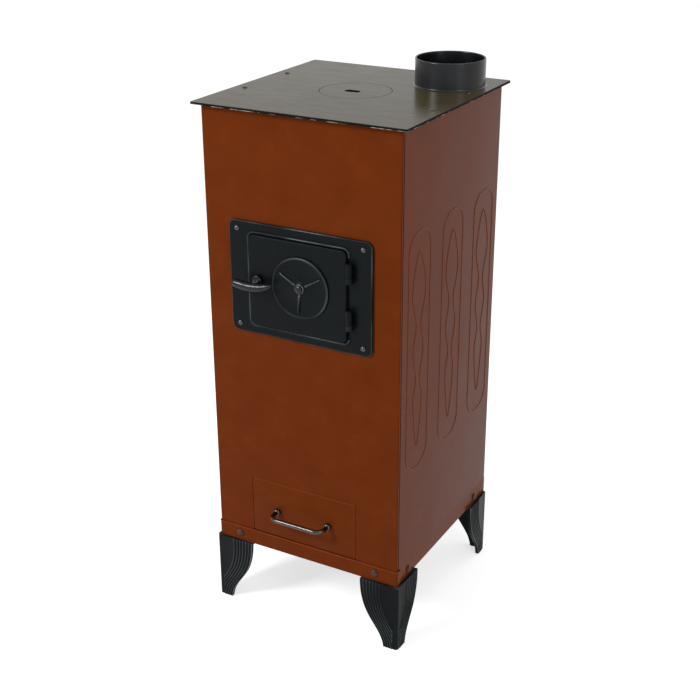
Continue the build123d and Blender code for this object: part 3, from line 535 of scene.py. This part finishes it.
# Fire chamber. A steel shelf carries firebricks on all four sides and the cast grate between them. It shows
# through the open door and the flue. The shelf, the frames and the ash tray are hot-rolled steel, whose mill
# scale is a cloudy mix of pale and dark grey.
SCALE_CLOUD = 12.0
SCALE_H = 0.1
sheet_steel = new_material("hot-rolled steel", "sheet_steel")
at = add(sheet_steel, "ShaderNodeTexCoord").outputs["Object"]
scale = add(sheet_steel, "ShaderNodeTexNoise", {"Vector": at, "Scale": 1 / (SCALE_CLOUD * MM), "Detail": 6.0})
tint = add(sheet_steel, "ShaderNodeMixRGB", {"Fac": scale.outputs["Fac"], "Color1": colour("#4c4c4e"),
                                             "Color2": colour("#7b7a78")})
sheen = add(sheet_steel, "ShaderNodeMapRange", {"Value": scale.outputs["Fac"], "To Min": 0.35, "To Max": 0.6})
relief = add(sheet_steel, "ShaderNodeMath", {0: scale.outputs["Fac"], 1: SCALE_H * MM}, operation="MULTIPLY")
finish(sheet_steel, relief.outputs[0], Base_Color=tint.outputs["Color"], Roughness=sheen.outputs["Result"],
       Metallic=0.8)
paint(sheet_steel, "grate_shelf", "top_frame", "lid_seat", "drawer_guides", "heat_shield", "ash_tray")
paint(cast_iron, "grate", "latch_tongue", "door_leaf")

# Fireclay brick, dry-pressed and fired: buff, porous, with dark and pale grit.
GRIT = 2.2
GRIT_H = 0.4
BRICK_STAIN = 45.0
firebrick = new_material("fireclay brick", "firebrick")
at = add(firebrick, "ShaderNodeTexCoord").outputs["Object"]
grit = add(firebrick, "ShaderNodeTexVoronoi", {"Vector": at, "Scale": 1 / (GRIT * MM)})
stain = add(firebrick, "ShaderNodeTexNoise", {"Vector": at, "Scale": 1 / (BRICK_STAIN * MM), "Detail": 7.0})
tint = add(firebrick, "ShaderNodeMixRGB", {"Fac": stain.outputs["Fac"], "Color1": colour("#8f7554"),
                                           "Color2": colour("#c9ae86")})
tint = add(firebrick, "ShaderNodeMixRGB", {"Fac": 0.18, "Color1": tint.outputs["Color"],
                                           "Color2": grit.outputs["Color"]}, blend_type="OVERLAY")
relief = add(firebrick, "ShaderNodeMath", {0: grit.outputs["Distance"], 1: GRIT_H * MM}, operation="MULTIPLY")
finish(firebrick, relief.outputs[0], Base_Color=tint.outputs["Color"], Roughness=0.9, Specular_IOR_Level=0.2)
paint(firebrick, "left_bricks", "right_bricks", "front_bricks", "back_bricks")

# Door frame. One iron casting: a plate on the body's face, a round-topped rim that stands round the door
# leaf, a throat that leads in through the panel, and the two hinge lugs. The rim stops beside the hinges.
DOOR_Z = 655.0
FRAME_W = 269.0
FRAME_H = 197.0
FRAME_R = 12.0
FRAME_T = 5.0
FRAME_EDGE = 1.8
THROAT_W = 177.0
THROAT_H = 150.0
THROAT_R = 6.0
THROAT_WALL = 3.0
THROAT_DEEP = 35.0
LEAF_X = -1.0
LEAF_W = 183.0
LEAF_H = 158.0
LEAF_R = 8.0
RIM_OUT = 6.2
RIM = ((-3.0, 0.0), (-1.6, 0.0), (-0.4, 0.3), (0.5, 1.5), (1.2, 2.7), (1.9, 3.3), (2.6, 3.5), (3.3, 3.4),
       (4.0, 2.9), (4.6, 2.0), (5.0, 0.8), (5.0, 0.0), (5.3, 0.0))
RIM_STOP = (582.0, 722.0)
RIM_STOP_X = LEAF_X + LEAF_W / 2 - 2.0
FRAME_FLAT = 4.0
HINGE_X = 97.0
HINGE_OUT = 13.0
KNUCKLE_R = 5.5
KNUCKLES = (610.0, 690.0)
LUG_H = 8.3
LUG_SUNK = 0.5


def on_front(x, z, out):
    """Points given from the front: to the right, up, and out of the body's face."""
    x, z, out = np.broadcast_arrays(x, z, out)
    return np.stack([x, FRONT_Y - out, z], -1).astype(float)


def door_ring(width, height, radius, x, out, rim=0.0):
    """Ring of the door frame at a distance out of the body, plus a rim's height where the rim stands."""
    ring = rounded_ring(width, height, radius, x, DOOR_Z, 10, 48)
    beside = abs(ring[:, 1] - np.mean(RIM_STOP)) < np.ptp(RIM_STOP) / 2
    hinge_side = (ring[:, 0] > RIM_STOP_X) & beside
    return on_front(ring[:, 0], ring[:, 1], out + np.where(hinge_side, 0.0, rim))


rings = [door_ring(FRAME_W, FRAME_H, FRAME_R, 0, 0.0)]
for angle in np.radians(np.linspace(0, 90, 6)):
    inset = FRAME_EDGE * (1 - cos(angle))
    out = FRAME_T - FRAME_EDGE * (1 - sin(angle))
    rings.append(door_ring(FRAME_W - 2 * inset, FRAME_H - 2 * inset, FRAME_R - inset, 0, out))
flat = 2 * FRAME_FLAT
rings.append(door_ring(FRAME_W - flat, FRAME_H - flat, FRAME_R - FRAME_FLAT, 0, FRAME_T))
for inset, high in RIM:
    grow = RIM_OUT - inset
    rings.append(door_ring(LEAF_W + 2 * grow, LEAF_H + 2 * grow, LEAF_R + grow, LEAF_X, FRAME_T, high))
rings += [door_ring(THROAT_W, THROAT_H, THROAT_R, 0, out) for out in (FRAME_T, -THROAT_DEEP)]
wall = 2 * THROAT_WALL
for out in (-THROAT_DEEP, 0.0):
    rings.append(door_ring(THROAT_W + wall, THROAT_H + wall, THROAT_R + THROAT_WALL, 0, out))
frame_patches = [surface(np.stack(rings), around=True, along=True)]
turn = np.linspace(0, -pi, 16)
nose = np.column_stack([HINGE_X + KNUCKLE_R * np.cos(turn), FRONT_Y - HINGE_OUT + KNUCKLE_R * np.sin(turn)])
root_y = FRONT_Y - FRAME_T + LUG_SUNK
foot = [(HINGE_X - KNUCKLE_R, root_y), (HINGE_X + KNUCKLE_R, root_y)]
frame_patches += [raised(np.vstack([nose, foot]), low - LUG_H, low) for low in KNUCKLES]
piece("door_frame_casting", frame_patches, cast_iron, "stove", ["door_frame"])

# Air wheel. A dished disc cast in iron, with a rolled rim, a boss on the stud, and three ribs for the
# fingers that turn it. It sits just off the door leaf, over the air holes.
WHEEL_R = 53.0
WHEEL_BORE = 4.06
WHEEL_FACE = 5.5
FINGER_ANGLES = (30, 150, 266)
FINGER_START = 10.0
FINGER_END = 44.0
FINGER_OUT = 2.2
FINGER_ROUND = 5.0
FINGER_HALF_H = 2.6
FINGER_HALF_W = 2.3
FINGER_TAPER = 0.25
wheel_low, wheel_high = limits("air_wheel")
wheel_at = np.array([(wheel_low[0] + wheel_high[0]) / 2, wheel_high[1], (wheel_low[2] + wheel_high[2]) / 2])
FRONT_BASIS = np.stack([RIGHT_WAY, UP_WAY, -BACK_WAY])
UP_BASIS = np.stack([RIGHT_WAY, BACK_WAY, UP_WAY])


def turned(profile, centre, basis, steps=96, closed=True):
    """A turned piece: a half-section of (radius, height) points, turned about the basis's third direction."""
    radius, height = np.array(profile, float).T
    angle = np.linspace(0, 2 * pi, steps, endpoint=False)
    local = np.stack([radius[:, None] * np.cos(angle), radius[:, None] * np.sin(angle),
                      np.repeat(height[:, None], steps, 1)], -1)
    return surface(centre + local @ basis, around=True, along=closed)


def blunt(path, radius):
    """Factor from 0 to 1 that rounds both ends of a bar like a ball of its own radius."""
    steps = np.linalg.norm(np.diff(path, axis=0), axis=1)
    run = np.concatenate([[0], np.cumsum(steps)])
    near = np.clip(np.minimum(run, run[-1] - run) / radius, 0, 1)
    return np.sqrt(np.clip(1 - (1 - near) ** 2, 0.0004, 1))


def rim_arc(centre, radius, start, end, steps):
    """Points of a round edge in a half-section."""
    angle = np.radians(np.linspace(start, end, steps))
    return np.stack([centre[0] + radius * np.cos(angle), centre[1] + radius * np.sin(angle)], -1)


wheel_section = np.vstack([
    [(WHEEL_BORE, 0.0), (WHEEL_R - 0.8, 0.0)],
    rim_arc((WHEEL_R - 1.9, 1.5), 1.9, -52, 112, 12),
    [(WHEEL_R - 4.4, 2.0), (WHEEL_R - 6.0, 1.7), (30.0, 1.6), (13.0, 1.8), (10.6, 2.3), (9.2, 3.4)],
    rim_arc((7.4, 4.2), 1.3, 0, 90, 5),
    [(WHEEL_BORE, WHEEL_FACE)],
])
wheel_patches = [turned(wheel_section, wheel_at, FRONT_BASIS)]
for angle in FINGER_ANGLES:
    way = RIGHT_WAY * cos(radians(angle)) + UP_WAY * sin(radians(angle))
    reach = np.linspace(FINGER_START, FINGER_END, 25)[:, None]
    line = wheel_at + way * reach - BACK_WAY * FINGER_OUT
    ends = blunt(line, FINGER_ROUND)
    slim = 1 - FINGER_TAPER * (reach[:, 0] - FINGER_START) / (FINGER_END - FINGER_START)
    half = np.column_stack([FINGER_HALF_H * ends, FINGER_HALF_W * ends * slim])
    wheel_patches.append(bar(line, half, -BACK_WAY))
piece("air_wheel_casting", wheel_patches, cast_iron, "air_wheel", ["air_wheel"])

# Latch lever. One casting: a round hub on the latch shaft, a neck that leans down from it, and a thick grip
# like a horn across its end. The black is rubbed through to dark, shining iron where the hand holds it.
HAND_RUB = 9.0
RUB_GRAIN = 0.8
RUB_GRAIN_H = 0.04
burnished = new_material("burnished iron", "handle_steel")
at = add(burnished, "ShaderNodeTexCoord").outputs["Object"]
rub = add(burnished, "ShaderNodeTexNoise", {"Vector": at, "Scale": 1 / (HAND_RUB * MM), "Detail": 5.0})
grain = add(burnished, "ShaderNodeTexNoise", {"Vector": at, "Scale": 1 / (RUB_GRAIN * MM), "Detail": 3.0})
tint = add(burnished, "ShaderNodeMixRGB", {"Fac": rub.outputs["Fac"], "Color1": colour("#0d0e0f"),
                                           "Color2": colour("#38393a")})
sheen = add(burnished, "ShaderNodeMapRange", {"Value": rub.outputs["Fac"], "From Min": 0.3, "From Max": 0.7,
                                              "To Min": 0.3, "To Max": 0.2})
relief = add(burnished, "ShaderNodeMath", {0: grain.outputs["Fac"], 1: RUB_GRAIN_H * MM},
             operation="MULTIPLY")
finish(burnished, relief.outputs[0], Base_Color=tint.outputs["Color"], Roughness=sheen.outputs["Result"],
       Metallic=0.9)

LATCH_X = -75.0
LATCH_Z = 658.0
HUB_R = 9.0
HUB_BACK = 11.6
HUB_T = 8.0
HUB_BEVEL = 1.0
HUB_ROUND = 2.2
HUB_AXIS = 0.01
NECK_ROOT = 1.0
NECK_DROP = 8.8
NECK_BEND = 1.5
NECK_R = 4.5
NECK_FLARE = 2.5
GRIP_ROUND = 2.5
GRIP_OUT = 28.1
GRIP_HORN = ((-39.6, -5.0, 5.0), (-37.0, -5.6, 6.6), (-28.0, -7.2, 7.5), (-8.0, -8.6, 7.9), (12.0, -7.0, 7.3),
             (26.0, -3.2, 5.2), (33.0, -0.4, 2.7), (35.4, 0.8, 1.2))
horn = smooth_line(GRIP_HORN, 10, closed=False)
grip = on_front(LATCH_X + horn[:, 0], LATCH_Z + horn[:, 1], GRIP_OUT)
grip_r = horn[:, 2] * blunt(grip, GRIP_ROUND)
lever = bar(grip, np.column_stack([grip_r, grip_r]), UP_WAY, 28)
fall = np.linspace(0, 1, 14)
neck_start = HUB_BACK + HUB_T - NECK_ROOT
neck_out = neck_start + (GRIP_OUT - neck_start) * fall
neck_line = on_front(LATCH_X, LATCH_Z - NECK_DROP * fall ** NECK_BEND, neck_out)
neck_r = NECK_R + NECK_FLARE * (1 - fall) ** 2
neck = bar(neck_line, np.column_stack([neck_r, neck_r]), RIGHT_WAY, 24)
hub_edge = rim_arc((HUB_R - HUB_ROUND, HUB_T - HUB_ROUND), HUB_ROUND, 0, 90, 6)
hub_section = np.vstack([[(HUB_AXIS, 0.0), (HUB_R - HUB_BEVEL, 0.0), (HUB_R, HUB_BEVEL)], hub_edge,
                         [(HUB_AXIS, HUB_T)]])
hub_back = on_front(LATCH_X, LATCH_Z, HUB_BACK)
hub = turned(hub_section, hub_back, FRONT_BASIS, 40)
piece("latch_lever_casting", [hub, neck, lever], burnished, "latch", ["latch_handle"])

# Ash drawer. A pressed front in the body's enamel, all but flush with the panel, with a bow handle of round
# bar through two ball collars. A plain steel tray is spot-welded behind it.
front_low, front_high = limits("drawer_front")
FACE_R = 1.2
FACE_OUT = 0.3
PAN_D = 12.0
PAN_R = 3.0
PAN_LEAST_R = 0.6


def pan_ring(inset, out):
    """Ring round the drawer front, drawn in by an inset, at a distance out of the body's face."""
    width, height = (front_high - front_low)[[0, 2]] - 2 * inset
    x, z = ((front_high + front_low) / 2)[[0, 2]]
    ring = rounded_ring(width, height, max(PAN_R - inset, PAN_LEAST_R), x, z)
    return on_front(ring[:, 0], ring[:, 1], out)


edge_turn = np.radians(np.linspace(0, 90, 5))
edge_steps = [(FACE_R * (1 - cos(turn)), FACE_OUT - FACE_R + FACE_R * sin(turn)) for turn in edge_turn]
pan = [pan_ring(SHEET, FACE_OUT - SHEET), pan_ring(SHEET, -PAN_D), pan_ring(0.0, -PAN_D)]
pan += [pan_ring(inset, out) for inset, out in edge_steps]
face = surface(np.stack(pan), around=True, caps=(0, -1))
piece("drawer_face", [face], enamel, "ash_drawer", ["drawer_front"])

# Drawn round bar of the drawer's handle, browned by age: darker than plating, with fine lines along the
# drawing and long soft highlights.
DRAWN_LINE = 9.0
DRAWN_LINE_H = 0.03
DRAWN_STRETCH = 14.0
handle_steel = new_material("bright drawn steel", "handle_steel")
at = add(handle_steel, "ShaderNodeTexCoord").outputs["Object"]
drawn = add(handle_steel, "ShaderNodeMapping", {"Vector": at, "Scale": (1.0, DRAWN_STRETCH, DRAWN_STRETCH)})
line = add(handle_steel, "ShaderNodeTexNoise", {"Vector": drawn.outputs["Vector"], "Detail": 4.0,
                                                "Scale": 1 / (DRAWN_LINE * MM)})
tint = add(handle_steel, "ShaderNodeMixRGB", {"Fac": line.outputs["Fac"], "Color1": colour("#2a2927"),
                                              "Color2": colour("#5c5853")})
relief = add(handle_steel, "ShaderNodeMath", {0: line.outputs["Fac"], 1: DRAWN_LINE_H * MM},
             operation="MULTIPLY")
finish(handle_steel, relief.outputs[0], Base_Color=tint.outputs["Color"], Roughness=0.22, Metallic=1.0)
paint(handle_steel, "drawer_handle", "handle_collars")

# Cooking plate. Flat steel with a thin heat-proof coat, and a lid let into it. The top is cloudy, and its
# colour is painted a lighter olive than the black edges as a painted reflection of the room at a low angle;
# the lower arris has a painted highlight in spots.
PLATE_TOP = 942.0
PLATE_T = 4.0
TOP_SKIN = (0.5, 0.1)
ARRIS_SKIN = (0.5, 0.9)
PLATE_CLOUD = 70.0
PLATE_CLOUD_H = 0.3
PLATE_STREAK = 40.0
STREAK_STRETCH = 6.0
STREAK_TURN = 0.5
PLATE_GLINT_SPOT = 18.0
plate_coat = new_material("heat-proof coating", "plate_steel")
at = add(plate_coat, "ShaderNodeTexCoord").outputs["Object"]
cloud = add(plate_coat, "ShaderNodeTexNoise", {"Vector": at, "Scale": 1 / (PLATE_CLOUD * MM), "Detail": 7.0,
                                               "Roughness": 0.55})
rub = add(plate_coat, "ShaderNodeMapping", {"Vector": at, "Rotation": (0.0, 0.0, STREAK_TURN),
                                                "Scale": (1.0, STREAK_STRETCH, 1.0)})
streak = add(plate_coat, "ShaderNodeTexNoise", {"Vector": rub.outputs["Vector"], "Detail": 6.0,
                                                "Scale": 1 / (PLATE_STREAK * MM)})
glint_noise = add(plate_coat, "ShaderNodeTexNoise", {"Vector": at, "Scale": 1 / (PLATE_GLINT_SPOT * MM), "Detail": 3.0})
height = add(plate_coat, "ShaderNodeSeparateXYZ", {"Vector": at})
tint = add(plate_coat, "ShaderNodeMixRGB", {"Fac": cloud.outputs["Fac"], "Color1": colour("#383120"),
                                            "Color2": colour("#463e29")})
# Painted reflection: the top face gets the lighter olive, and the edges below it stay near-black.
upper = add(plate_coat, "ShaderNodeMapRange", {"Value": height.outputs["Z"],
                                               "From Min": (PLATE_TOP - TOP_SKIN[0]) * MM,
                                               "From Max": (PLATE_TOP - TOP_SKIN[1]) * MM})
tint = add(plate_coat, "ShaderNodeMixRGB", {"Fac": upper.outputs["Result"], "Color1": colour("#0b0c0d"),
                                            "Color2": tint.outputs["Color"]})
# Painted highlight: pale spots along the plate's lower arris, broken up by noise.
arris = add(plate_coat, "ShaderNodeMapRange", {"Value": height.outputs["Z"], "To Min": 1.0, "To Max": 0.0,
                                               "From Min": (PLATE_TOP - PLATE_T + ARRIS_SKIN[0]) * MM,
                                               "From Max": (PLATE_TOP - PLATE_T + ARRIS_SKIN[1]) * MM})
glint_spots = add(plate_coat, "ShaderNodeMapRange", {"Value": glint_noise.outputs["Fac"], "From Min": 0.5,
                                              "From Max": 0.62})
wear_and_highlight = add(plate_coat, "ShaderNodeMath", {0: arris.outputs["Result"], 1: glint_spots.outputs["Result"]},
           operation="MULTIPLY")
tint = add(plate_coat, "ShaderNodeMixRGB", {"Fac": wear_and_highlight.outputs[0], "Color1": tint.outputs["Color"],
                                            "Color2": colour("#b9a79c")})
sheen = add(plate_coat, "ShaderNodeMapRange", {"Value": streak.outputs["Fac"], "From Min": 0.3,
                                               "From Max": 0.7, "To Min": 0.17, "To Max": 0.27})
dull = add(plate_coat, "ShaderNodeMapRange", {"Value": upper.outputs["Result"], "To Min": 0.5, "To Max": 0.0})
sheen = add(plate_coat, "ShaderNodeMath", {0: sheen.outputs["Result"], 1: dull.outputs["Result"]})
relief = add(plate_coat, "ShaderNodeMath", {0: cloud.outputs["Fac"], 1: PLATE_CLOUD_H * MM},
             operation="MULTIPLY")
finish(plate_coat, relief.outputs[0], Base_Color=tint.outputs["Color"], Roughness=sheen.outputs[0],
       Specular_IOR_Level=0.075)
paint(plate_coat, "top_plate", "cooking_lid")

# Flue collar. A rolled steel ring welded to the plate all round, in sprayed black heat-proof paint: nearly
# even, with a satin shine that varies slowly and the faint grain of the spray.
FLUE_R = 60.0
FLUE_WALL = 3.0
WELD_R = 2.5
SPRAY = 0.7
SPRAY_H = 0.03
PAINT_CLOUD = 25.0
flue_low, flue_high = limits("flue_collar")
flue_at = np.array([(flue_low[0] + flue_high[0]) / 2, (flue_low[1] + flue_high[1]) / 2, flue_low[2]])
flue_h = flue_high[2] - flue_low[2]
stove_paint = new_material("stove paint", "flue_paint")
at = add(stove_paint, "ShaderNodeTexCoord").outputs["Object"]
spray = add(stove_paint, "ShaderNodeTexNoise", {"Vector": at, "Scale": 1 / (SPRAY * MM), "Detail": 2.0})
cloud = add(stove_paint, "ShaderNodeTexNoise", {"Vector": at, "Scale": 1 / (PAINT_CLOUD * MM), "Detail": 4.0})
tint = add(stove_paint, "ShaderNodeMixRGB", {"Fac": cloud.outputs["Fac"], "Color1": colour("#07090b"),
                                             "Color2": colour("#101317")})
sheen = add(stove_paint, "ShaderNodeMapRange", {"Value": cloud.outputs["Fac"], "To Min": 0.16, "To Max": 0.3})
relief = add(stove_paint, "ShaderNodeMath", {0: spray.outputs["Fac"], 1: SPRAY_H * MM}, operation="MULTIPLY")
finish(stove_paint, relief.outputs[0], Base_Color=tint.outputs["Color"], Roughness=sheen.outputs["Result"],
       Specular_IOR_Level=0.35)
inner = FLUE_R - FLUE_WALL
weld = rim_arc((FLUE_R + WELD_R, WELD_R), WELD_R, 270, 180, 6)
lip = rim_arc(((FLUE_R + inner) / 2, flue_h - FLUE_WALL / 2), FLUE_WALL / 2, 0, 180, 10)
flue_section = np.vstack([[(inner, 0.0)], weld, lip])
piece("flue_ring", [turned(flue_section, flue_at, UP_BASIS, 128)], stove_paint, "stove", ["flue_collar"])

# Stage. A plain pale floor that the camera sees as white with the stove's shadow, and a white surround. Three
# soft lamps stand round it: the key at the front left, a weak fill at the right, and a weak one overhead.
FLOOR_REACH = 30.0
FLOOR_GLOW = 0.64
ROOM_LIGHT = 0.45
floor_mesh = bpy.data.meshes.new("floor")
square = ((-1, -1), (1, -1), (1, 1), (-1, 1))
floor_mesh.from_pydata([(x * FLOOR_REACH, y * FLOOR_REACH, 0.0) for x, y in square], [], [(0, 1, 2, 3)])
floor = bpy.data.objects.new("floor", floor_mesh)
bpy.context.scene.collection.objects.link(floor)
pale = new_material("pale floor", "floor")
ray = add(pale, "ShaderNodeLightPath").outputs
seen = add(pale, "ShaderNodeMath", {0: ray["Is Camera Ray"], 1: ray["Is Glossy Ray"]}, operation="MAXIMUM")
seen = add(pale, "ShaderNodeMath", {0: seen.outputs[0], 1: ray["Is Transmission Ray"]}, operation="MAXIMUM")
matt = add(pale, "ShaderNodeBsdfDiffuse", {"Color": colour("#e6e6e6")})
lift = add(pale, "ShaderNodeMath", {0: seen.outputs[0], 1: FLOOR_GLOW}, operation="MULTIPLY")
glow = add(pale, "ShaderNodeEmission", {"Color": colour("#ffffff"), "Strength": lift.outputs[0]})
both = add(pale, "ShaderNodeAddShader", {0: matt.outputs["BSDF"], 1: glow.outputs["Emission"]})
add(pale, "ShaderNodeOutputMaterial", {"Surface": both.outputs["Shader"]})
floor_mesh.materials.append(pale)

world = bpy.data.worlds.new("studio")
bpy.context.scene.world = world
world.use_nodes = True
world.node_tree.nodes.clear()
ray = add(world, "ShaderNodeLightPath").outputs
seen = add(world, "ShaderNodeMath", {0: ray["Is Camera Ray"], 1: ray["Is Glossy Ray"]}, operation="MAXIMUM")
seen = add(world, "ShaderNodeMath", {0: seen.outputs[0], 1: ray["Is Transmission Ray"]}, operation="MAXIMUM")
power = add(world, "ShaderNodeMapRange", {"Value": seen.outputs[0], "To Min": ROOM_LIGHT, "To Max": 1.0})
sky = add(world, "ShaderNodeBackground", {"Color": colour("#ffffff"), "Strength": power.outputs["Result"]})
add(world, "ShaderNodeOutputWorld", {"Surface": sky.outputs["Background"]})

AIM = Vector((0.0, 0.0, 0.5))
for name, where, size, watts in (("key", (-1.5, -2.4, 2.3), 0.9, 72.0), ("fill", (2.4, -1.2, 1.7), 0.9, 15.0),
                                 ("top", (0.3, 0.6, 3.0), 1.2, 8.0)):
    lamp = bpy.data.lights.new(name, "AREA")
    lamp.size = size
    lamp.energy = watts
    holder = bpy.data.objects.new(name, lamp)
    turned_to = (AIM - Vector(where)).to_track_quat("-Z", "Y").to_matrix().to_4x4()
    holder.matrix_world = Matrix.Translation(where) @ turned_to
    bpy.context.scene.collection.objects.link(holder)

# Camera at the photograph's place: turned 29 degrees to the stove's right and looking 23.8 degrees down, with
# angles in degrees and the eye's place in metres.
YAW = 29.014
PITCH = 23.753
ROLL = -0.149
LENS = 65.03
SENSOR = 36.0
EYE = (1.0096, -1.8304, 1.3943)
yaw, pitch, roll = np.radians([YAW, PITCH, ROLL])
ahead = np.array([-sin(yaw) * cos(pitch), cos(yaw) * cos(pitch), -sin(pitch)])
right = np.array([cos(yaw), sin(yaw), 0.0])
top = np.cross(right, ahead)
columns = np.stack([cos(roll) * right + sin(roll) * top, cos(roll) * top - sin(roll) * right, -ahead], -1)
view = bpy.data.cameras.new("photo_view")
view.lens = LENS
view.sensor_width = SENSOR
camera = bpy.data.objects.new("photo_view", view)
camera.matrix_world = Matrix.Translation(EYE) @ Matrix(columns.tolist()).to_4x4()
bpy.context.scene.collection.objects.link(camera)
bpy.context.scene.camera = camera
bpy.context.scene.view_settings.view_transform = "Standard"
